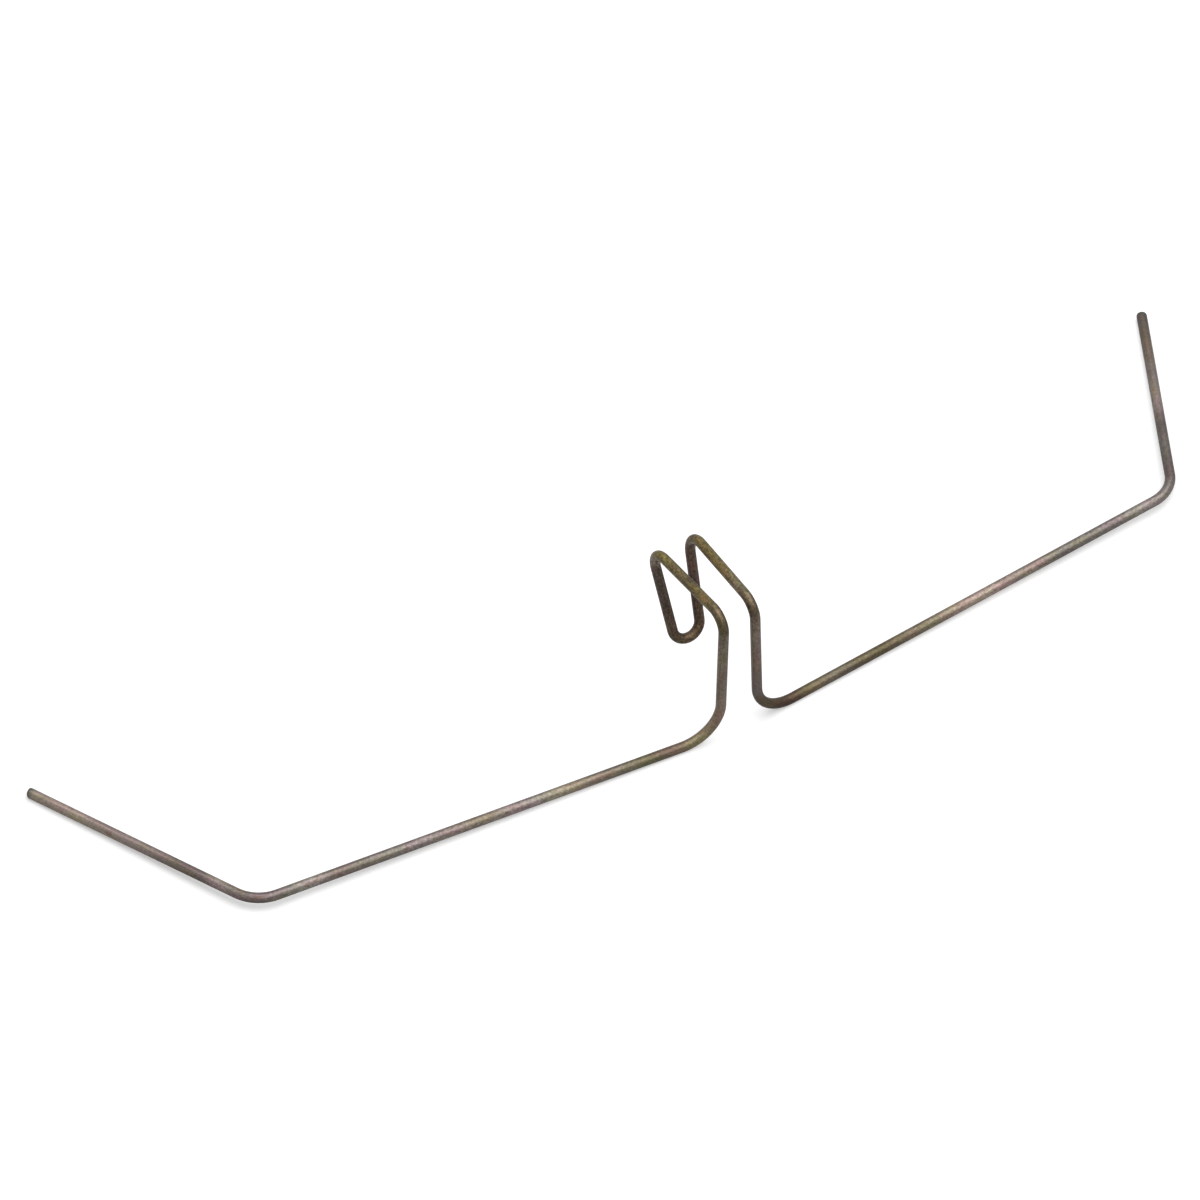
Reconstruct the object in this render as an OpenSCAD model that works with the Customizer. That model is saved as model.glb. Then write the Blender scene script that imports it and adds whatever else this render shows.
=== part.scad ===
// Spring wire clip for a brake line: one round wire, bent alike on both sides of its mid-plane.
// X runs along the arms, Y points back from the risers to the tips, and Z is up from the resting plane.
// Sizes are in millimetres. A corner is where the middle lines of two straights would meet.

/* [Wire] */
// Diameter of the spring wire
wire_d = 2; // [1.6:0.1:2.3]
// How much slimmer the wire is drawn where it is bent
bend_thinning = 0.02; // [0.01:0.01:0.06]
// Chamfer on the two cut ends
end_chamfer = 0.25; // [0.05:0.05:0.5]

/* [Arms] */
// From the mid-plane out to the corner of each elbow
elbow_out = 99.5; // [80:0.5:120]
// How far the corner of each elbow lies behind the risers
elbow_back = 7.2; // [3:0.1:12]
// How far the corner of each elbow is sprung up from the resting plane of the feet
elbow_lift = 1.5; // [0.5:0.1:3]
// Bend radius of the elbows, to the middle of the wire
elbow_r = 7.5; // [4:0.5:10]

/* [Tips] */
// Length of the left tip, from the corner of its elbow to its cut end
left_tip_len = 51; // [30:1:70]
// Length of the right tip, which is cut a little shorter
right_tip_len = 47; // [30:1:70]
// Direction of each tip, turned back from the line through both elbows
tip_turn = 65; // [45:1:80]

/* [Risers] */
// Distance between the risers at their feet, middle to middle
foot_pitch = 8.2; // [7:0.1:10]
// Distance between the risers at their shoulders, middle to middle
shoulder_pitch = 6.6; // [6:0.1:8]
// Height of the shoulders' corners above the feet's corners
riser_h = 31; // [24:0.5:40]
// Bend radius of the feet, to the middle of the wire
foot_r = 8; // [4:0.5:10]
// Bend radius of the shoulders, to the middle of the wire
shoulder_r = 3.5; // [2.5:0.25:5]

/* [Hook] */
// How far the hook's back corners lie behind the risers
hook_depth = 25.2; // [18:0.2:34]
// How far the hook's top legs fall towards the back
hook_fall = 2.7; // [0:0.1:5]
// Distance between the hook's back corners, middle to middle
back_pitch = 8.1; // [7:0.1:10]
// Bend radius of the back corners, to the middle of the wire
back_r = 4.25; // [2.5:0.25:5]

/* [Saddle] */
// Bend radius of the saddle at the bottom of the drop legs, to the middle of the wire
saddle_r = 2.9; // [2.4:0.1:3.2]
// How far the bottom of the saddle comes forward of the back corners
saddle_forward = 7.2; // [2:0.2:12]
// Height of the bottom of the saddle above the feet's corners, to the middle of the wire
saddle_h = 7.2; // [5:0.2:10]

/* [Hidden] */
$fn = 40;

wire_r = wire_d / 2;
bend_section_r = (wire_d - bend_thinning) / 2;
// Each straight runs this far over the slimmer bend that it meets
lap = bend_thinning;

// A saddle leg leaves the back corner and touches the saddle's arc: its touching point is worked out
// in the plane that both legs lie in, measured across and up from the middle of the arc
back_z = riser_h - hook_fall;
saddle_low = [0, hook_depth - saddle_forward, saddle_h];
legs_up = unit([0, hook_depth, back_z] - saddle_low);
saddle_mid = saddle_low + saddle_r * legs_up;
legs_span = norm([0, hook_depth, back_z] - saddle_mid);
leg_reach = norm([back_pitch / 2, legs_span]);
leg_touch_angle = atan2(legs_span, back_pitch / 2) - acos(saddle_r / leg_reach);
leg_touch = saddle_mid + saddle_r * (cos(leg_touch_angle) * [1, 0, 0] + sin(leg_touch_angle) * legs_up);

// Corners of the right half, before it is set down on the resting plane
elbow = [elbow_out, elbow_back, elbow_lift];
foot = [foot_pitch / 2, 0, 0];
shoulder = [shoulder_pitch / 2, 0, riser_h];
back = [back_pitch / 2, hook_depth, back_z];

// The wire's lowest point, where the foot's arc begins, gives the resting plane, and the tips come
// down to it as well
foot_in = unit(foot - elbow);
foot_out = unit(shoulder - foot);
foot_axis = unit(cross(foot_in, foot_out));
foot_mid = foot - foot_in * set_back(foot_in, foot_out, foot_r) + foot_r * inward(foot_in, foot_out);
rest_z = foot_mid.z - foot_r * norm([foot_axis.x, foot_axis.y]) - wire_r;
tip_fall = elbow.z - rest_z - wire_r;

// The origin lies on the resting plane, midway between the risers' front and the longer tip's back
long_tip_end = tip_end(max(left_tip_len, right_tip_len));
tip_rim = (wire_r - end_chamfer) * sin(acos(unit(long_tip_end - elbow).y));
set_down = [0, (wire_r - long_tip_end.y - tip_rim) / 2, -rest_z];

function unit(v) = v / norm(v);
// Angle that the wire turns through at a corner, from direction u to direction v
function turn(u, v) = acos(u * v);
// How far before and after its corner an arc of radius r begins and ends
function set_back(u, v, r) = r * tan(turn(u, v) / 2);
// Direction from the start of an arc to its middle
function inward(u, v) = unit(v - (u * v) * u);
// Length that a bend takes up on each side of its corner
function gap(before, corner, after, r) = set_back(unit(corner - before), unit(after - corner), r);
// Middle of the cut end of a tip
function tip_end(length) =
    elbow + sqrt(length * length - tip_fall * tip_fall) * [cos(tip_turn), sin(tip_turn), 0]
    - [0, 0, tip_fall];

// A straight between two corners, less the arcs there, run over the bends at its ends
module straight(from, to, from_gap, to_gap) {
    along = unit(to - from);
    translate(from + along * (from_gap - lap))
        rotate([0, acos(along.z), atan2(along.y, along.x)])
            cylinder(h = norm(to - from) - from_gap - to_gap + 2 * lap, r = wire_r);
}

// An arc that starts at a point, heading in direction u, and curves towards the side w
module arc(start, u, w, r, angle) {
    middle = start + w * r;
    axis = cross(u, w);
    multmatrix([
        [-w.x, u.x, axis.x, middle.x],
        [-w.y, u.y, axis.y, middle.y],
        [-w.z, u.z, axis.z, middle.z],
        [0, 0, 0, 1]
    ])
        rotate_extrude(angle = angle)
            translate([r, 0])
                circle(r = bend_section_r);
}

// The arc that rounds a corner between the corners before and after it
module bend(before, corner, after, r) {
    u = unit(corner - before);
    v = unit(after - corner);
    arc(corner - u * set_back(u, v, r), u, inward(u, v), r, turn(u, v));
}

// The tip's straight, from the elbow's arc to the cut end with its chamfer
module tip(end) {
    along = unit(end - elbow);
    length = norm(end - elbow) - gap(end, elbow, foot, elbow_r) + lap;
    translate(end - along * length)
        rotate([0, acos(along.z), atan2(along.y, along.x)])
            rotate_extrude()
                polygon([
                    [0, 0],
                    [wire_r, 0],
                    [wire_r, length - end_chamfer],
                    [wire_r - end_chamfer, length],
                    [0, length]
                ]);
}

module arm(end) {
    bend(end, elbow, foot, elbow_r);
    straight(elbow, foot, gap(end, elbow, foot, elbow_r), gap(elbow, foot, shoulder, foot_r));
    bend(elbow, foot, shoulder, foot_r);
}

module riser() {
    straight(foot, shoulder, gap(elbow, foot, shoulder, foot_r), gap(foot, shoulder, back, shoulder_r));
    bend(foot, shoulder, back, shoulder_r);
}

module hook() {
    straight(shoulder, back, gap(foot, shoulder, back, shoulder_r), gap(shoulder, back, leg_touch, back_r));
    bend(shoulder, back, leg_touch, back_r);
    straight(back, leg_touch, gap(shoulder, back, leg_touch, back_r), 0);
}

// The arc that joins both drop legs, from the right one to the left one
module saddle() {
    down = unit(leg_touch - back);
    arc(leg_touch, down, unit(saddle_mid - leg_touch), saddle_r, 180 + 2 * leg_touch_angle);
}

module half(tip_len) {
    tip(tip_end(tip_len));
    arm(tip_end(tip_len));
    riser();
    hook();
}

module clip_wire() {
    color([0.45, 0.41, 0.36])
        translate(set_down) {
            half(right_tip_len);
            mirror([1, 0, 0]) half(left_tip_len);
            saddle();
        }
}

clip_wire();
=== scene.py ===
import math

import bpy
import numpy
from mathutils import Matrix, Quaternion, Vector


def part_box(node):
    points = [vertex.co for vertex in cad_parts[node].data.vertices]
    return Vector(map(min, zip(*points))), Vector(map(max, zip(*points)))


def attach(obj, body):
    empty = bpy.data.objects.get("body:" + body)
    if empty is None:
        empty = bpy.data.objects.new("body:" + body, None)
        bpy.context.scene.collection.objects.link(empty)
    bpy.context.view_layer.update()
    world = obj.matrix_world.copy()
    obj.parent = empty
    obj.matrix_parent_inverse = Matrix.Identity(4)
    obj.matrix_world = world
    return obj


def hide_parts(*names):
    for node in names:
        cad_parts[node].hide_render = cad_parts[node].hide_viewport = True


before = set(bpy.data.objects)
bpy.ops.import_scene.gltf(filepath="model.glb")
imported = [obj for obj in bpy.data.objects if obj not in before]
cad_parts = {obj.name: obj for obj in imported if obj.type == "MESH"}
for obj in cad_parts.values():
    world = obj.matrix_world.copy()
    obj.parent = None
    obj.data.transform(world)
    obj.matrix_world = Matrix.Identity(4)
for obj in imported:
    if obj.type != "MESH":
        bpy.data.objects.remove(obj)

scene = bpy.context.scene
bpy.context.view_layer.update()  # the box that the looks stay inside
nodeLow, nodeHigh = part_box("clip_wire")
millimetre = 0.001
print("frame loaded: the clip is", [round(side / millimetre, 1) for side in nodeHigh - nodeLow], "mm")

# The wire's form, in metres. A corner is where the middle lines of two straights would meet.
wireForm = {
    "wireRadius": 0.001,
    "elbowOut": 0.0995,  # from the mid-plane to the corner of each elbow
    "elbowBack": 0.0072,  # behind the risers
    "elbowLift": 0.0015,  # above the corners of the feet
    "elbowRadius": 0.0075,
    "leftTipLength": 0.05095,  # from the elbow's corner to the cut end, whose sharp rim stays in the box
    "rightTipLength": 0.04698,
    "tipTurn": 65,  # degrees back from the line through both elbows
    "footPitch": 0.0082,
    "footRadius": 0.008,
    "shoulderPitch": 0.0066,
    "shoulderRadius": 0.0035,
    "riserHeight": 0.03099,
    "hookDepth": 0.0252,
    "hookFall": 0.0027,
    "backPitch": 0.0081,
    "backRadius": 0.00425,
    "saddleRadius": 0.0029,
    "saddleForward": 0.0072,
    "saddleHeight": 0.0072,
    "sides": 48,  # how finely the wire is drawn, round its section
    "ringGap": 0.001,  # between the rings of a straight
    "bendStep": 4,  # degrees between the rings of a bend
    "pickReach": 1.01,  # in wire radii, round the middle of a ring that is picked
    "weldGap": 1e-7,  # points that are closer are merged
    "smoothAngle": 50,  # degrees, past which an edge stays sharp
    "leftCut": {  # the cutter rolled one side of each rim over, and left the far side sharper
        "rolledSide": (-0.72, -0.34, -0.6),  # the way that the rolled side faces
        "roll": 0.00062,  # how far that side draws in
        "rim": 0.00014,  # how far the sharper side draws in
        "reach": 0.0006,  # of both along the wire
    },
    "rightCut": {
        "rolledSide": (0, 0, 1),
        "roll": 0.00050,
        "rim": 0.00036,
        "reach": 0.00052,
    },
    "cutSideShare": 0.4,  # of both together, by which the sides in between draw in
    "cutDish": 0.00005,  # how deep the middle of each cut face lies
    "rollRings": 7,
    "faceRings": 7,
}


def turnBetween(u, v):
    return math.acos(max(-1.0, min(1.0, u.dot(v))))


def bendAt(before, corner, after, radius):  # the arc that rounds a corner
    u = (corner - before).normalized()
    v = (after - corner).normalized()
    angle = turnBetween(u, v)
    start = corner - u * radius * math.tan(angle / 2)
    inward = (v - u.dot(v) * u).normalized()
    axis = u.cross(inward)
    centre = start + inward * radius
    end = centre + Quaternion(axis, angle) @ (start - centre)
    return {"start": start, "centre": centre, "axis": axis, "angle": angle, "end": end, "radius": radius}


def wireCorners():  # corners and bend radii from the left tip's end to the right tip's end
    form = wireForm
    elbow = Vector((form["elbowOut"], form["elbowBack"], form["elbowLift"]))
    foot = Vector((form["footPitch"] / 2, 0, 0))
    shoulder = Vector((form["shoulderPitch"] / 2, 0, form["riserHeight"]))
    back = Vector((form["backPitch"] / 2, form["hookDepth"], form["riserHeight"] - form["hookFall"]))

    # Both drop legs would meet at one point far below the saddle
    saddleLow = Vector((0, form["hookDepth"] - form["saddleForward"], form["saddleHeight"]))
    legsTop = Vector((0, back.y, back.z))
    legsUp = (legsTop - saddleLow).normalized()
    saddleMiddle = saddleLow + legsUp * form["saddleRadius"]
    span = (legsTop - saddleMiddle).length
    lean = math.acos(form["saddleRadius"] / math.hypot(back.x, span)) - math.atan2(span, back.x)
    legsMeet = saddleMiddle - legsUp * form["saddleRadius"] / math.sin(lean)

    # The clip rests where the feet's arcs begin, and on the ends of its tips
    footBend = bendAt(elbow, foot, shoulder, form["footRadius"])
    footDrop = form["footRadius"] * math.hypot(footBend["axis"].x, footBend["axis"].y)
    restHeight = footBend["centre"].z - footDrop - form["wireRadius"]
    tipFall = elbow.z - restHeight - form["wireRadius"]
    setDown = Vector((0, nodeLow.y + form["wireRadius"], -restHeight))

    def tipEnd(length):
        reach = math.sqrt(length ** 2 - tipFall ** 2)
        turn = math.radians(form["tipTurn"])
        return elbow + Vector((reach * math.cos(turn), reach * math.sin(turn), -tipFall))

    def half(tipLength):
        return [
            (tipEnd(tipLength), 0),
            (elbow, form["elbowRadius"]),
            (foot, form["footRadius"]),
            (shoulder, form["shoulderRadius"]),
            (back, form["backRadius"]),
        ]

    left = [(Vector((-point.x, point.y, point.z)), radius) for point, radius in half(form["leftTipLength"])]
    right = half(form["rightTipLength"])[::-1]
    corners = left + [(legsMeet, form["saddleRadius"])] + right
    return [(point + setDown, radius) for point, radius in corners]


corners = wireCorners()
bends = [
    bendAt(corners[i - 1][0], corners[i][0], corners[i + 1][0], corners[i][1])
    for i in range(1, len(corners) - 1)
]
leftEnd, rightEnd = corners[0][0], corners[-1][0]
print("route worked out:", len(bends), "bends")


def drawStraight(vector):  # pulls the selected ring along
    count = max(1, round(vector.length / wireForm["ringGap"]))
    for _ in range(count):
        bpy.ops.mesh.extrude_region_move(TRANSFORM_OT_translate={"value": vector / count})


def drawBend(bend):  # with no window, spin turns the other way, so its axis is reversed
    count = max(2, round(math.degrees(bend["angle"]) / wireForm["bendStep"]))
    bpy.ops.mesh.spin(
        steps=count, dupli=False, angle=bend["angle"], center=bend["centre"], axis=-bend["axis"])


def selectRing(wire, centre):  # selects the open ring round a point
    reach = wireForm["wireRadius"] * wireForm["pickReach"]
    bpy.ops.mesh.select_all(action="DESELECT")
    bpy.ops.object.mode_set(mode="OBJECT")
    for vertex in wire.data.vertices:
        vertex.select = (vertex.co - centre).length < reach
    bpy.ops.object.mode_set(mode="EDIT")
    bpy.ops.mesh.select_mode(type="VERT")


def closeEnd(wire, end, along, cut):  # rolls the rim of a cut end over and closes its face
    radius = wireForm["wireRadius"]
    start = end - along * cut["reach"]
    selectRing(wire, start)
    rolled = Vector(cut["rolledSide"])
    rolled = (rolled - along * rolled.dot(along)).normalized()
    turned = Matrix((rolled, along.cross(rolled), along)).transposed()

    # Each ring is given as its middle and its half widths, towards the rolled side and across it
    rings = []
    for i in range(1, wireForm["rollRings"] + 1):
        turn = math.pi / 2 * i / wireForm["rollRings"]
        loss, rimLoss = cut["roll"] * (1 - math.cos(turn)), cut["rim"] * (1 - math.cos(turn))
        middle = start + along * cut["reach"] * math.sin(turn) - rolled * (loss - rimLoss) / 2
        across = radius - (loss + rimLoss) * wireForm["cutSideShare"]
        rings.append((middle, radius - (loss + rimLoss) / 2, across))
    faceMiddle, faceRolled, faceAcross = rings[-1]
    for i in range(1, wireForm["faceRings"]):
        left = 1 - i / wireForm["faceRings"]
        middle = faceMiddle - along * wireForm["cutDish"] * (1 - left) ** 2
        rings.append((middle, faceRolled * left, faceAcross * left))

    place, halfRolled, halfAcross = start, radius, radius
    for middle, newRolled, newAcross in rings:
        bpy.ops.mesh.extrude_region_move(TRANSFORM_OT_translate={"value": middle - place})
        bpy.ops.transform.resize(
            value=(newRolled / halfRolled, newAcross / halfAcross, 1), center_override=middle,
            orient_type="GLOBAL", orient_matrix=turned, orient_matrix_type="GLOBAL")
        place, halfRolled, halfAcross = middle, newRolled, newAcross
    bpy.ops.mesh.merge(type="CENTER")


def drawWire():
    radius = wireForm["wireRadius"]
    along = (corners[1][0] - leftEnd).normalized()
    start = leftEnd + along * wireForm["leftCut"]["reach"]
    stop = rightEnd + (corners[-2][0] - rightEnd).normalized() * wireForm["rightCut"]["reach"]

    bpy.ops.object.select_all(action="DESELECT")
    turn = along.to_track_quat("Z", "Y").to_euler()
    bpy.ops.mesh.primitive_circle_add(
        vertices=wireForm["sides"], radius=radius, fill_type="NOTHING", location=start, rotation=turn)
    wire = bpy.context.object
    wire.name = "platedWire"
    bpy.ops.object.transform_apply(location=True, rotation=True, scale=True)

    bpy.ops.object.mode_set(mode="EDIT")
    bpy.ops.mesh.select_all(action="SELECT")
    place = start
    for bend in bends:
        drawStraight(bend["start"] - place)
        drawBend(bend)
        place = bend["end"]
    drawStraight(stop - place)
    closeEnd(wire, leftEnd, -along, wireForm["leftCut"])
    closeEnd(wire, rightEnd, (rightEnd - corners[-2][0]).normalized(), wireForm["rightCut"])

    bpy.ops.mesh.select_all(action="SELECT")
    bpy.ops.mesh.remove_doubles(threshold=wireForm["weldGap"])
    bpy.ops.mesh.normals_make_consistent(inside=False)
    bpy.ops.object.mode_set(mode="OBJECT")
    bpy.ops.object.shade_smooth_by_angle(angle=math.radians(wireForm["smoothAngle"]))
    return wire


wire = drawWire()
points = [vertex.co for vertex in wire.data.vertices]
drawnLow = [min(point[i] for point in points) for i in range(3)]
drawnHigh = [max(point[i] for point in points) for i in range(3)]
offBox = max(abs(a - b) for a, b in zip(drawnLow + drawnHigh, list(nodeLow) + list(nodeHigh)))
faceCount = len(wire.data.polygons)
print("wire drawn:", faceCount, "faces, off the node's box by", round(offBox / millimetre, 3), "mm")


# Wire space: the distance along the wire from the saddle's middle, minus to the left, and the place across
# its section, as if the wire were straight. Patterns follow it round every bend with no seam.
wireParts = [
    "leftTip", "leftElbow", "leftArm", "leftFoot", "leftRiser", "leftShoulder", "leftTopLeg", "leftBack",
    "leftDropLeg", "saddle", "rightDropLeg", "rightBack", "rightTopLeg", "rightShoulder", "rightRiser",
    "rightFoot", "rightArm", "rightElbow", "rightTip",
]


def straightSpace(points, start, end, side, first, last):  # distance off the middle line, and wire space
    along = (end - start).normalized()
    offset = points - numpy.array(start)
    travelled = offset @ numpy.array(along)
    low = travelled.min() if first else 0.0
    high = travelled.max() if last else (end - start).length
    radial = offset - numpy.clip(travelled, low, high)[:, None] * numpy.array(along)
    across = numpy.stack([radial @ numpy.array(side), radial @ numpy.array(along.cross(side))], 1)
    return numpy.linalg.norm(radial, axis=1), travelled, across


def bendSpace(points, bend, side, along):  # the same for a bend
    spoke = (bend["start"] - bend["centre"]).normalized()
    forward = bend["axis"].cross(spoke)
    offset = points - numpy.array(bend["centre"])
    angle = numpy.arctan2(offset @ numpy.array(forward), offset @ numpy.array(spoke))
    angle = numpy.clip(angle, 0, bend["angle"])
    out = numpy.cos(angle)[:, None] * numpy.array(spoke) + numpy.sin(angle)[:, None] * numpy.array(forward)
    radial = offset - out * bend["radius"]
    outward, sideward = (radial * out).sum(1), radial @ numpy.array(bend["axis"])
    other = along.cross(side)
    across = numpy.stack([
        outward * side.dot(spoke) + sideward * side.dot(bend["axis"]),
        outward * other.dot(spoke) + sideward * other.dot(bend["axis"])], 1)
    return numpy.linalg.norm(radial, axis=1), angle * bend["radius"], across


def addWireSpace(wire):  # returns where each part of the wire begins and ends
    count = len(wire.data.vertices)
    points = numpy.zeros(count * 3)
    wire.data.vertices.foreach_get("co", points)
    points = points.reshape(-1, 3)
    nearest, space = numpy.full(count, numpy.inf), numpy.zeros((count, 3))
    place, travelled, spans = leftEnd, 0.0, []
    side = (corners[1][0] - leftEnd).normalized().cross(Vector((0, 0, 1))).normalized()

    def keep(distance, further, across):
        closer = distance < nearest
        nearest[closer] = distance[closer]
        space[closer] = numpy.column_stack([travelled + further, across])[closer]

    for i in range(len(bends) + 1):
        last = i == len(bends)
        end = rightEnd if last else bends[i]["start"]
        keep(*straightSpace(points, place, end, side, i == 0, last))
        spans.append((travelled, travelled + (end - place).length))
        travelled = spans[-1][1]
        if not last:
            bend = bends[i]
            keep(*bendSpace(points, bend, side, (end - place).normalized()))
            spans.append((travelled, travelled + bend["angle"] * bend["radius"]))
            travelled = spans[-1][1]
            side = Quaternion(bend["axis"], bend["angle"]) @ side
            place = bend["end"]
    middle = sum(spans[wireParts.index("saddle")]) / 2
    space[:, 0] -= middle
    attribute = wire.data.attributes.new("wireSpace", "FLOAT_VECTOR", "POINT")
    attribute.data.foreach_set("vector", space.ravel())
    print("wire space laid along", round(travelled / millimetre, 1), "mm of wire")
    return {part: (span[0] - middle, span[1] - middle) for part, span in zip(wireParts, spans)}


wireSpans = addWireSpace(wire)

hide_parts("clip_wire")
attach(wire, "root")


def node(tree, kind, place, **values):
    made = tree.nodes.new(kind)
    made.location = place
    for name, value in values.items():
        setattr(made, name, value)
    return made


def feed(tree, socket, value):  # links a socket, or sets it
    if isinstance(value, bpy.types.NodeSocket):
        tree.links.new(value, socket)
    else:
        socket.default_value = value


def calculate(tree, place, operation, *values):
    made = node(tree, "ShaderNodeMath", place, operation=operation)
    for socket, value in zip(made.inputs, values):
        feed(tree, socket, value)
    return made.outputs[0]


def rampOf(tree, place, value, stops):  # stops are positions with a colour or a grey
    ramp = node(tree, "ShaderNodeValToRGB", place)
    elements = ramp.color_ramp.elements
    elements.remove(elements[1])
    for i, (position, tone) in enumerate(stops):
        element = elements[0] if i == 0 else elements.new(position)
        element.position = position
        element.color = (*tone, 1) if isinstance(tone, tuple) else (tone, tone, tone, 1)
    tree.links.new(value, ramp.inputs["Fac"])
    return ramp.outputs["Color"]


mixColours = {"first": 6, "second": 7, "result": 2}  # where a Mix node has its sockets for colours


def blend(tree, place, mode, factor, first, second):
    mix = node(tree, "ShaderNodeMix", place, data_type="RGBA", blend_type=mode)
    feed(tree, mix.inputs["Factor"], factor)
    feed(tree, mix.inputs[mixColours["first"]], first)
    feed(tree, mix.inputs[mixColours["second"]], second)
    return mix.outputs[mixColours["result"]]


grainRoughness = 0.58  # how much each finer layer of the grain shows


# Grain that is drawn out along the wire. Along and Across are features per metre.
def makeDrawnGrain():
    group = bpy.data.node_groups.new("drawnGrain", "ShaderNodeTree")
    group.interface.new_socket("Vector", in_out="INPUT", socket_type="NodeSocketVector")
    for name in ("Along", "Across", "Detail"):
        group.interface.new_socket(name, in_out="INPUT", socket_type="NodeSocketFloat")
    group.interface.new_socket("Value", in_out="OUTPUT", socket_type="NodeSocketFloat")
    entry = node(group, "NodeGroupInput", (-600, 0))
    size = node(group, "ShaderNodeCombineXYZ", (-400, -120))
    group.links.new(entry.outputs["Along"], size.inputs["X"])
    group.links.new(entry.outputs["Across"], size.inputs["Y"])
    group.links.new(entry.outputs["Across"], size.inputs["Z"])
    stretched = node(group, "ShaderNodeVectorMath", (-200, 0), operation="MULTIPLY")
    group.links.new(entry.outputs["Vector"], stretched.inputs[0])
    group.links.new(size.outputs[0], stretched.inputs[1])
    noise = node(group, "ShaderNodeTexNoise", (0, 0))
    noise.inputs["Scale"].default_value = 1.0
    noise.inputs["Roughness"].default_value = grainRoughness
    group.links.new(stretched.outputs[0], noise.inputs["Vector"])
    group.links.new(entry.outputs["Detail"], noise.inputs["Detail"])
    leave = node(group, "NodeGroupOutput", (200, 0))
    group.links.new(noise.outputs["Fac"], leave.inputs["Value"])
    return group


drawnGrain = makeDrawnGrain()


def grainOf(tree, place, space, along, across, detail):
    made = node(tree, "ShaderNodeGroup", place, node_tree=drawnGrain)
    feed(tree, made.inputs["Vector"], space)
    feed(tree, made.inputs["Along"], along)
    feed(tree, made.inputs["Across"], across)
    feed(tree, made.inputs["Detail"], detail)
    return made.outputs["Value"]


# The plating: thin yellow passivation gone dull, in these tones, with painted shade in some places.
# Each place on the wire has a tone and how strong it is there, with the share of the part that lies
# between its start and the place.
platingTones = {
    "mauve": (0.134, 0.100, 0.094),
    "ash": (0.117, 0.100, 0.088),
    "grey": (0.127, 0.100, 0.090),
    "tan": (0.129, 0.100, 0.080),
    "straw": (0.124, 0.100, 0.064),
    "olive": (0.124, 0.100, 0.050),
    "moss": (0.104, 0.100, 0.040),
    "bronze": (0.136, 0.100, 0.043),
    "brass": (0.137, 0.100, 0.022),
    "umber": (0.142, 0.100, 0.066),
    "sepia": (0.162, 0.100, 0.045),
    "plum": (0.180, 0.100, 0.078),
}
leftTonesAndShade = [
    ("leftTip", 0.03, "tan", 1.45),
    ("leftTip", 0.25, "tan", 1.60),
    ("leftTip", 0.50, "mauve", 1.25),
    ("leftTip", 0.72, "tan", 0.88),
    ("leftTip", 0.84, "mauve", 0.82),
    ("leftTip", 0.91, "grey", 1.46),
    ("leftElbow", 0.4, "mauve", 0.76),
    ("leftArm", 0.035, "ash", 1.12),
    ("leftArm", 0.08, "ash", 1.62),
    ("leftArm", 0.15, "tan", 0.88),
    ("leftArm", 0.25, "ash", 1.10),
    ("leftArm", 0.35, "ash", 1.20),
    ("leftArm", 0.48, "tan", 1.28),
    ("leftArm", 0.63, "ash", 1.34),
    ("leftArm", 0.72, "straw", 1.42),
    ("leftArm", 0.84, "tan", 0.92),
    ("leftArm", 0.905, "moss", 0.80),
    ("leftArm", 0.965, "umber", 0.72),
    ("leftFoot", 0.35, "olive", 1.35),
    ("leftFoot", 0.75, "umber", 1.10),
    ("leftRiser", 0.4, "straw", 1.05),
    ("leftRiser", 0.95, "straw", 0.95),
    ("leftShoulder", 0.15, "bronze", 0.48),
    ("leftShoulder", 0.85, "bronze", 0.59),
    ("leftTopLeg", 0.15, "brass", 0.98),
    ("leftTopLeg", 0.45, "bronze", 0.48),
    ("leftBack", 0.3, "brass", 1.08),
    ("leftBack", 0.65, "umber", 1.36),
    # Painted shade: the end of the back, the drop leg and the saddle are toned darker for the dark
    # surroundings they mirror
    ("leftBack", 1.0, "umber", 0.43),
    ("leftDropLeg", 0.5, "umber", 0.43),
    ("saddle", 0.5, "sepia", 0.43),
]
rightTonesAndShade = [
    # Painted shade: the saddle, the drop leg and the start of the back are toned darker for the dark
    # surroundings they mirror
    ("saddle", 0.5, "sepia", 0.43),
    ("rightDropLeg", 0.5, "plum", 0.37),
    ("rightDropLeg", 0.88, "plum", 0.42),
    ("rightBack", 0.05, "plum", 0.37),
    ("rightBack", 0.5, "sepia", 0.47),
    ("rightBack", 0.95, "brass", 0.85),
    ("rightTopLeg", 0.5, "brass", 0.92),
    ("rightTopLeg", 0.88, "olive", 1.17),
    ("rightShoulder", 0.60, "bronze", 0.42),
    ("rightShoulder", 1.0, "umber", 0.86),
    ("rightRiser", 0.2, "tan", 1.03),
    ("rightRiser", 0.6, "umber", 0.92),
    ("rightFoot", 0.0, "mauve", 0.80),
    # Painted shade: the foot and the start of the arm are toned darker for their shade and contact shadow
    # on the floor
    ("rightFoot", 0.2, "sepia", 0.46),
    ("rightFoot", 0.85, "sepia", 0.23),
    ("rightArm", 0.01, "sepia", 0.28),
    ("rightArm", 0.045, "bronze", 0.64),
    ("rightArm", 0.105, "straw", 0.80),
    ("rightArm", 0.25, "bronze", 0.49),
    ("rightArm", 0.40, "straw", 1.16),
    ("rightArm", 0.53, "tan", 1.60),
    ("rightArm", 0.68, "tan", 1.28),
    ("rightArm", 0.725, "ash", 0.91),
    ("rightArm", 0.96, "ash", 1.32),
    ("rightElbow", 0.45, "ash", 1.27),
    ("rightElbow", 0.95, "tan", 0.61),
    ("rightTip", 0.20, "ash", 0.94),
    ("rightTip", 0.29, "mauve", 0.63),
    ("rightTip", 0.42, "mauve", 1.38),
    ("rightTip", 0.62, "grey", 0.97),
    ("rightTip", 0.80, "umber", 0.78),
    ("rightTip", 0.965, "grey", 0.52),
]
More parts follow.
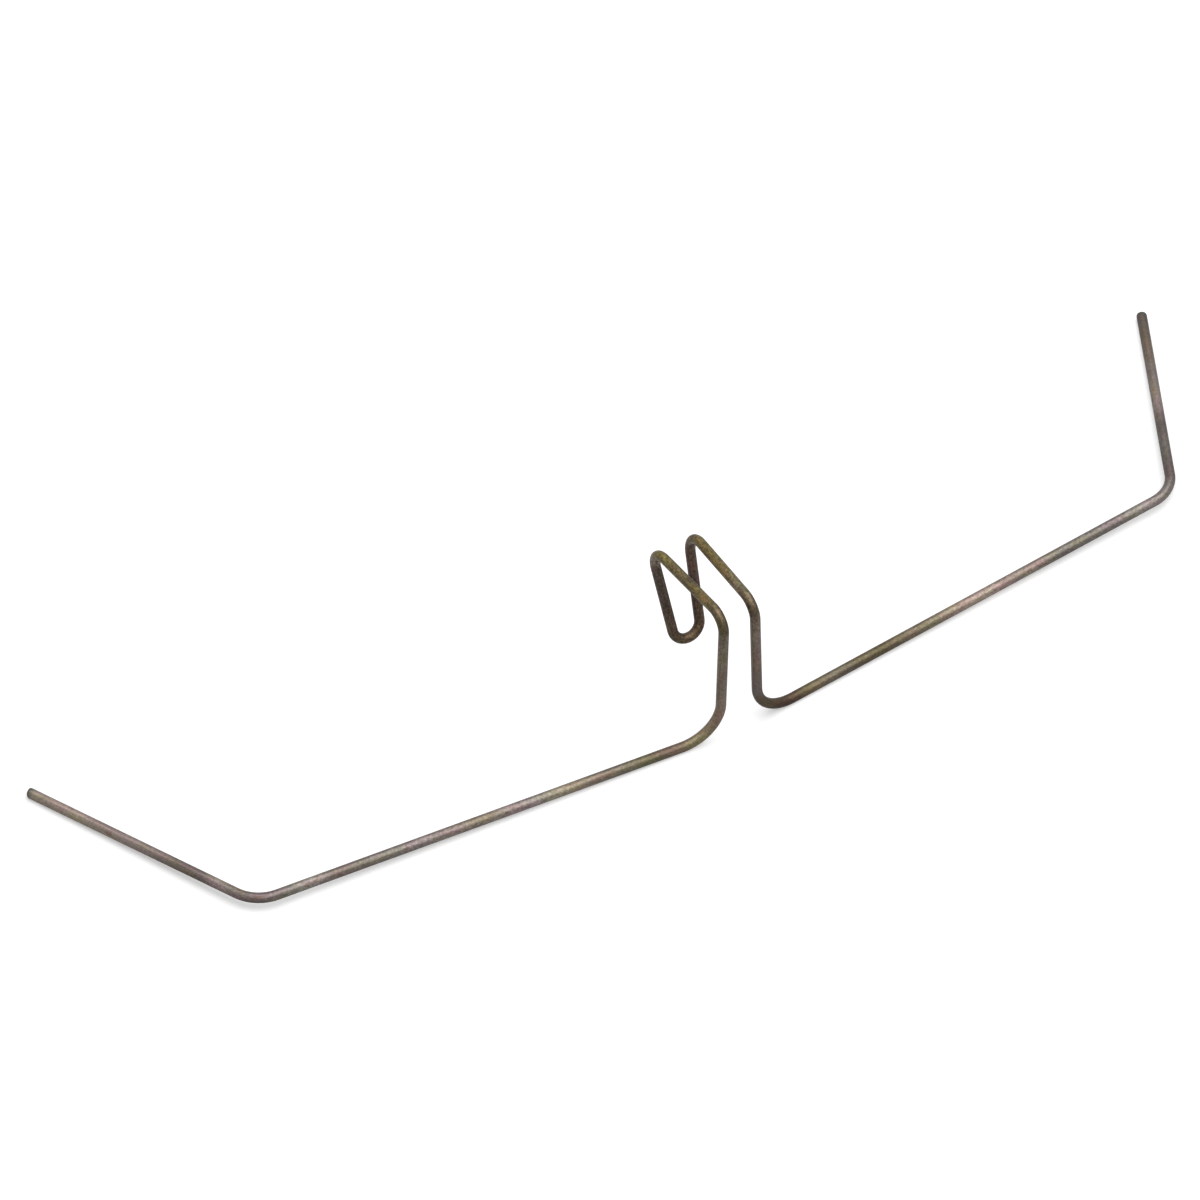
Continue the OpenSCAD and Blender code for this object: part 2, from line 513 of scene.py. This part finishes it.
platingLook = {
    "metal": 0.85,
    "edgeTint": (0.60, 0.60, 0.62),  # of the metal where it is seen at a low angle
    "film": 0.25,  # how plainly the passivation's clear film shines grey over black
    "filmRise": 3.0,  # and how much more it shines over pale tones
    "filmRoughness": 0.38,
    "roughness": 0.43,
    "roughnessSpread": 0.24,
    "broad": (70, 260, 3),  # patches per metre along and across the wire, and how finely they break up
    "clouds": (170, 620, 4),
    "russet": (420, 1000, 3),
    "bloom": (240, 900, 5),
    "grain": (2000, 2600, 3),
    "specks": (3200, 4200, 2),
    "lines": (140, 8000, 2),
    "broadShade": [(0.30, 0.82), (0.70, 1.20)],  # what each level of a pattern makes of the tone
    "cloudTints": [
        (0.34, (1.10, 0.90, 1.06)),
        (0.44, (1.05, 0.97, 1.06)),
        (0.52, (1.00, 1.02, 1.02)),
        (0.60, (0.97, 1.04, 0.87)),
        (0.70, (1.14, 1.05, 0.82)),
    ],
    "grainShade": [(0.30, 0.36), (0.50, 1.0), (0.70, 1.85)],
    "speckShade": [(0.30, 0.30), (0.42, 1.0)],
    "lineShade": [(0.30, 0.75), (0.50, 1.0), (0.70, 1.28)],
    "grainShows": {  # how plainly all three show on each part, left and right
        "saddle": 1.0,
        "Shoulder": 0.8,
        "Riser": 0.46,
        "Arm": 0.56,
        "Elbow": 0.5,
        "Tip": 0.34,
    },
    "russetTone": (0.120, 0.062, 0.034),
    "russetCover": [(0.58, 0.0), (0.70, 0.6)],  # how much of the tone each level of the pattern covers
    "bloomTone": (0.30, 0.265, 0.22),
    "bloomCover": [(0.30, 0.20), (0.42, 0.0)],
    "bloomPaleness": 0.35,  # how much of its own tone it has
    # Painted contact shade: the dark end stain also stands in for the shade where each tip rests on the
    # floor
    "endStainAndShadeTone": (0.062, 0.068, 0.057),
    "endStainAndShadeLength": 0.0024,  # from each cut end, over which its dark stain and painted contact shade fade
    "endStainAndShadeRagged": 0.0008,  # how far the stain's border wanders
    "endStainAndShadeCover": [(0.40, 0.85), (0.75, 0.0)],  # how much it covers at each share of that length
    "bumpHeight": 0.00003,
    "bumpStrength": 0.6,
    "linesInBump": 0.5,  # beside the grain
}


def toneStops(route, reach):  # turns the places into shares of the reach, from the saddle outwards
    stops = []
    for part, share, tone, strength in route:
        start, end = wireSpans[part]
        away = abs(start + (end - start) * share) / reach
        stops.append((away, tuple(value * strength for value in platingTones[tone])))
    return sorted(stops, key=lambda stop: stop[0])


def grainStops(reach):  # how plainly the grain shows, from the saddle outwards
    stops = []
    for part, shows in platingLook["grainShows"].items():
        span = wireSpans[part if part in wireSpans else "right" + part]
        stops.append((max(0.0, sum(span) / 2 / reach), shows))
    return stops


def makePlating():
    look = platingLook
    material = bpy.data.materials.new("dulledPlating")
    material.use_nodes = True
    tree = material.node_tree
    tree.nodes.clear()
    space = node(tree, "ShaderNodeAttribute", (-2000, 0), attribute_name="wireSpace").outputs["Vector"]
    parts = node(tree, "ShaderNodeSeparateXYZ", (-1800, 400))
    tree.links.new(space, parts.inputs[0])
    leftReach, rightReach = -wireSpans["leftTip"][0], wireSpans["rightTip"][1]

    # The tones of both halves, which meet at the saddle
    away = calculate(tree, (-1600, 400), "ABSOLUTE", parts.outputs["X"])
    leftShare = calculate(tree, (-1400, 500), "DIVIDE", away, leftReach)
    rightShare = calculate(tree, (-1400, 300), "DIVIDE", away, rightReach)
    leftTone = rampOf(tree, (-1200, 600), leftShare, toneStops(leftTonesAndShade, leftReach))
    rightTone = rampOf(tree, (-1200, 300), rightShare, toneStops(rightTonesAndShade, rightReach))
    isRight = calculate(tree, (-1200, 0), "GREATER_THAN", parts.outputs["X"], 0.0)
    colour = blend(tree, (-900, 400), "MIX", isRight, leftTone, rightTone)

    # Clouds of mauve, olive and tan in the passivation
    clouds = grainOf(tree, (-1200, -200), space, *look["clouds"])
    tint = rampOf(tree, (-900, 0), clouds, look["cloudTints"])
    colour = blend(tree, (-600, 400), "MULTIPLY", 1.0, colour, tint)
    broad = grainOf(tree, (-1200, -50), space, *look["broad"])
    broadShade = rampOf(tree, (-900, -150), broad, look["broadShade"])
    colour = blend(tree, (-500, 400), "MULTIPLY", 1.0, colour, broadShade)

    # Russet flecks and a pale bloom of zinc salts
    russet = grainOf(tree, (-1200, -400), space, *look["russet"])
    russetMask = rampOf(tree, (-900, -300), russet, look["russetCover"])
    colour = blend(tree, (-400, 400), "MIX", russetMask, colour, (*look["russetTone"], 1))
    bloom = grainOf(tree, (-1200, -600), space, *look["bloom"])
    bloomMask = rampOf(tree, (-900, -600), bloom, look["bloomCover"])
    pale = blend(tree, (-400, 100), "MIX", look["bloomPaleness"], colour, (*look["bloomTone"], 1))
    colour = blend(tree, (-200, 400), "MIX", bloomMask, colour, pale)

    # Grain, dark specks and the fine lines that the drawing die left
    grain = grainOf(tree, (-1200, -900), space, *look["grain"])
    specks = grainOf(tree, (-1200, -1100), space, *look["specks"])
    lines = grainOf(tree, (-1200, -1300), space, *look["lines"])
    grainShade = rampOf(tree, (-900, -900), grain, look["grainShade"])
    speckShade = rampOf(tree, (-900, -1150), specks, look["speckShade"])
    lineShade = rampOf(tree, (-900, -1400), lines, look["lineShade"])
    shows = rampOf(tree, (-300, 700), rightShare, grainStops(rightReach))
    colour = blend(tree, (0, 400), "MULTIPLY", shows, colour, grainShade)
    colour = blend(tree, (200, 400), "MULTIPLY", shows, colour, speckShade)
    colour = blend(tree, (400, 400), "MULTIPLY", shows, colour, lineShade)

    # The dark stain at the cut ends, partly a real stain and partly painted contact shade, with a ragged
    # border
    fromLeft = calculate(tree, (-1400, -1600), "ADD", parts.outputs["X"], leftReach)
    fromRight = calculate(tree, (-1400, -1750), "SUBTRACT", rightReach, parts.outputs["X"])
    fromEnd = calculate(tree, (-1200, -1650), "MINIMUM", fromLeft, fromRight)
    ragged = calculate(tree, (-1000, -1650), "MULTIPLY_ADD", clouds, look["endStainAndShadeRagged"], fromEnd)
    endStainAndShadeShare = calculate(tree, (-800, -1650), "DIVIDE", ragged, look["endStainAndShadeLength"])
    endStainAndShadeMask = rampOf(tree, (-600, -1650), endStainAndShadeShare, look["endStainAndShadeCover"])
    colour = blend(tree, (600, 400), "MIX", endStainAndShadeMask, colour, (*look["endStainAndShadeTone"], 1))

    # The grain and the lines can be felt as well, and the grain is rougher where it stands up
    smoothest = look["roughness"] - look["roughnessSpread"] / 2
    roughness = calculate(tree, (400, -200), "MULTIPLY_ADD", grain, look["roughnessSpread"], smoothest)
    height = calculate(tree, (200, -600), "MULTIPLY_ADD", lines, look["linesInBump"], grain)
    bump = node(tree, "ShaderNodeBump", (400, -600))
    bump.inputs["Strength"].default_value = look["bumpStrength"]
    bump.inputs["Distance"].default_value = look["bumpHeight"]
    tree.links.new(height, bump.inputs["Height"])

    # The metal, under its clear film
    shader = node(tree, "ShaderNodeBsdfPrincipled", (900, 200))
    shader.inputs["Metallic"].default_value = look["metal"]
    shader.inputs["Specular Tint"].default_value = (*look["edgeTint"], 1)
    toneParts = node(tree, "ShaderNodeSeparateColor", (600, 700))
    tree.links.new(colour, toneParts.inputs[0])
    paleness = toneParts.outputs["Green"]
    film = calculate(tree, (800, 700), "MULTIPLY_ADD", paleness, look["filmRise"], look["film"])
    tree.links.new(film, shader.inputs["Coat Weight"])
    shader.inputs["Coat Roughness"].default_value = look["filmRoughness"]
    tree.links.new(colour, shader.inputs["Base Color"])
    tree.links.new(roughness, shader.inputs["Roughness"])
    tree.links.new(bump.outputs[0], shader.inputs["Normal"])
    output = node(tree, "ShaderNodeOutputMaterial", (1200, 200))
    tree.links.new(shader.outputs[0], output.inputs["Surface"])
    return material


# The cut faces: bare sheared steel, smooth where the blade ran and torn beyond
cutLook = {
    "metal": 0.8,
    "smoothTone": (0.105, 0.108, 0.098),
    "tornTone": (0.045, 0.046, 0.040),
    "roughness": 0.38,
    "tornRoughness": 0.25,  # on top of that, where it is torn
    "tear": (500, 900, 3),  # patches per metre over the face each way, and how finely they break up
    "shearLines": (9000, 1200, 3),
    "tornRise": 260,  # per metre, from the smooth side of the face to the torn one
    "tornBorder": [(0.40, 0.0), (0.56, 1.0)],
    "lineShade": [(0.30, 0.65), (0.70, 1.35)],
    "bumpHeight": 0.00005,
    "bumpStrength": 0.8,
    "faceReach": 1.5,  # in wire radii from the end, within which a face may count as cut
    "faceTurn": 0.8,  # and how squarely it has to look out of the wire
}


def makeCutSteel():
    look = cutLook
    material = bpy.data.materials.new("cutSteel")
    material.use_nodes = True
    tree = material.node_tree
    tree.nodes.clear()
    space = node(tree, "ShaderNodeAttribute", (-1000, 0), attribute_name="wireSpace").outputs["Vector"]
    parts = node(tree, "ShaderNodeSeparateXYZ", (-800, -100))
    tree.links.new(space, parts.inputs[0])
    face = node(tree, "ShaderNodeCombineXYZ", (-600, -100))  # the face lies across the wire
    tree.links.new(parts.outputs["Y"], face.inputs["X"])
    tree.links.new(parts.outputs["Z"], face.inputs["Y"])
    tear = grainOf(tree, (-400, 200), face.outputs[0], *look["tear"])
    shearLines = grainOf(tree, (-400, -100), face.outputs[0], *look["shearLines"])
    border = calculate(tree, (-400, -300), "MULTIPLY_ADD", parts.outputs["Z"], look["tornRise"], tear)
    torn = rampOf(tree, (-200, 200), border, look["tornBorder"])
    colour = blend(tree, (100, 200), "MIX", torn, (*look["smoothTone"], 1), (*look["tornTone"], 1))
    shade = rampOf(tree, (-200, -100), shearLines, look["lineShade"])
    colour = blend(tree, (300, 200), "MULTIPLY", 1.0, colour, shade)
    roughness = calculate(
        tree, (300, -100), "MULTIPLY_ADD", torn, look["tornRoughness"], look["roughness"])
    bump = node(tree, "ShaderNodeBump", (300, -300))
    bump.inputs["Strength"].default_value = look["bumpStrength"]
    bump.inputs["Distance"].default_value = look["bumpHeight"]
    height = calculate(tree, (100, -300), "MULTIPLY_ADD", torn, tear, shearLines)
    tree.links.new(height, bump.inputs["Height"])
    shader = node(tree, "ShaderNodeBsdfPrincipled", (600, 100))
    shader.inputs["Metallic"].default_value = look["metal"]
    tree.links.new(colour, shader.inputs["Base Color"])
    tree.links.new(roughness, shader.inputs["Roughness"])
    tree.links.new(bump.outputs[0], shader.inputs["Normal"])
    output = node(tree, "ShaderNodeOutputMaterial", (900, 100))
    tree.links.new(shader.outputs[0], output.inputs["Surface"])
    return material


def dressWire(wire):  # the plating all over, and bare steel on both cut faces
    wire.data.materials.append(makePlating())
    wire.data.materials.append(makeCutSteel())
    cutFaces = 0
    reach = wireForm["wireRadius"] * cutLook["faceReach"]
    for end, corner in ((leftEnd, corners[1][0]), (rightEnd, corners[-2][0])):
        along = (end - corner).normalized()
        for face in wire.data.polygons:
            if (face.center - end).length < reach and face.normal.dot(along) > cutLook["faceTurn"]:
                face.material_index = 1
                cutFaces += 1
    print("wire dressed:", cutFaces, "faces of cut steel")


dressWire(wire)


# The floor and the lights
stageSetup = {
    "floorSides": 96,
    "floorRadius": 12.0,
    "floorColor": (0.8, 0.8, 0.8),
    "floorLift": 0.42,  # what the floor glows with, to look white where nothing shades it
    "skyStrength": 0.13,
    "lampPlace": (0.3, -0.25, 1.1),
    "lampSize": 1.7,
    "lampPower": 20.0,
}


def makeFloor():
    bpy.ops.object.select_all(action="DESELECT")
    bpy.ops.mesh.primitive_circle_add(
        vertices=stageSetup["floorSides"], radius=stageSetup["floorRadius"], fill_type="NGON")
    floor = bpy.context.object
    floor.name = "paleFloor"
    material = bpy.data.materials.new("palePaper")
    material.use_nodes = True
    tree = material.node_tree
    tree.nodes.clear()
    diffuse = node(tree, "ShaderNodeBsdfDiffuse", (0, 0))
    diffuse.inputs["Color"].default_value = (*stageSetup["floorColor"], 1)
    glow = node(tree, "ShaderNodeEmission", (0, -160))
    path = node(tree, "ShaderNodeLightPath", (-400, -160))
    lift = calculate(tree, (-180, -160), "MULTIPLY", path.outputs["Is Camera Ray"], stageSetup["floorLift"])
    tree.links.new(lift, glow.inputs["Strength"])
    both = node(tree, "ShaderNodeAddShader", (200, 0))
    output = node(tree, "ShaderNodeOutputMaterial", (380, 0))
    tree.links.new(diffuse.outputs[0], both.inputs[0])
    tree.links.new(glow.outputs[0], both.inputs[1])
    tree.links.new(both.outputs[0], output.inputs["Surface"])
    floor.data.materials.append(material)


def makeSky():
    world = bpy.data.worlds.new("paleSky")
    scene.world = world
    world.use_nodes = True
    tree = world.node_tree
    tree.nodes.clear()
    path = node(tree, "ShaderNodeLightPath", (-560, 0))
    seen = calculate(
        tree, (-360, 0), "MAXIMUM", path.outputs["Is Camera Ray"], path.outputs["Is Glossy Ray"])
    mix = node(tree, "ShaderNodeMix", (-180, 0), data_type="FLOAT")
    mix.inputs["A"].default_value = stageSetup["skyStrength"]
    mix.inputs["B"].default_value = 1.0  # white to the camera and in the metal
    tree.links.new(seen, mix.inputs["Factor"])
    background = node(tree, "ShaderNodeBackground", (0, 0))
    background.inputs["Color"].default_value = (1, 1, 1, 1)
    tree.links.new(mix.outputs["Result"], background.inputs["Strength"])
    output = node(tree, "ShaderNodeOutputWorld", (180, 0))
    tree.links.new(background.outputs[0], output.inputs["Surface"])


def makeLamp():
    bpy.ops.object.select_all(action="DESELECT")
    bpy.ops.object.light_add(type="AREA", location=stageSetup["lampPlace"])
    lamp = bpy.context.object
    lamp.name = "softLamp"
    lamp.data.shape = "SQUARE"
    lamp.data.size = stageSetup["lampSize"]
    lamp.data.energy = stageSetup["lampPower"]
    lamp.visible_camera = False


makeFloor()
makeSky()
makeLamp()
print("floor and lights made")


# The photograph's camera, found from the outline of the whole wire
cameraView = {
    "azimuth": -31.1145,  # degrees, 0 looks along +Y
    "elevation": 47.5793,
    "distance": 3.704,
    "lens": 600,
    "aimRight": -0.0256936,  # the frame's centre from the risers' feet, as the camera sees it
    "aimUp": 0.0231395,
    "sensorWidth": 36,
    "clip": (0.1, 100),  # how near and how far it sees
}


def makeCamera():
    azimuth = math.radians(cameraView["azimuth"])
    elevation = math.radians(cameraView["elevation"])
    right = Vector((math.cos(azimuth), math.sin(azimuth), 0))
    back = Vector((
        math.sin(azimuth) * math.cos(elevation),
        -math.cos(azimuth) * math.cos(elevation),
        math.sin(elevation),
    ))
    up = back.cross(right)
    feet = (corners[2][0] + corners[-3][0]) / 2
    aim = feet + right * cameraView["aimRight"] + up * cameraView["aimUp"]
    data = bpy.data.cameras.new("photoCamera")
    data.lens = cameraView["lens"]
    data.sensor_width = cameraView["sensorWidth"]
    data.clip_start, data.clip_end = cameraView["clip"]
    camera = bpy.data.objects.new("photoCamera", data)
    scene.collection.objects.link(camera)
    camera.location = aim + back * cameraView["distance"]
    camera.rotation_mode = "QUATERNION"
    camera.rotation_quaternion = (-back).to_track_quat("-Z", "Y")
    scene.camera = camera


makeCamera()
scene.view_settings.view_transform = "Standard"
print("camera placed")
